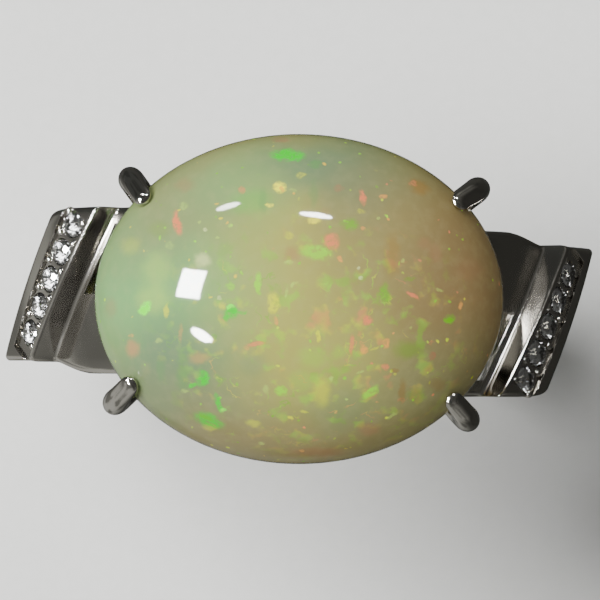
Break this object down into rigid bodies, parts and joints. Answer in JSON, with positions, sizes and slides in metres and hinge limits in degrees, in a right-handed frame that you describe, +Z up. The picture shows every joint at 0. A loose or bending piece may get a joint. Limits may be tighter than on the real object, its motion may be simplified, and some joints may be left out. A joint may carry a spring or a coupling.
{
  "type": "opal cabochon ring",
  "caption": "Finger ring of white metal with an oval domed opal held by claws over an open gallery, and a slanted ridge set with small diamonds across each shoulder.",
  "frame": {"origin": "middle of the flat sole that the ring stands on, below the finger hole", "axes": "+Z up through the opal's dome, +X along the opal's length, +Y along the finger"},
  "size_m": [0.0202, 0.0104, 0.0264],
  "materials": {
    "opal": "polished, milky, with play of colour",
    "white_metal": "polished, lightly worn",
    "diamond": "cut and polished"
  },
  "bodies": {
    "root": {"opal": "opal", "shank": "white_metal", "base_rail": "white_metal", "gallery_rail": "white_metal", "claw_back_right": "white_metal", "claw_back_left": "white_metal", "claw_front_left": "white_metal", "claw_front_right": "white_metal", "diamond_left_1": "diamond", "diamond_left_2": "diamond", "diamond_left_3": "diamond", "diamond_left_4": "diamond", "diamond_left_5": "diamond", "diamond_right_1": "diamond", "diamond_right_2": "diamond", "diamond_right_3": "diamond", "diamond_right_4": "diamond", "diamond_right_5": "diamond"}
  },
  "joints": []
}
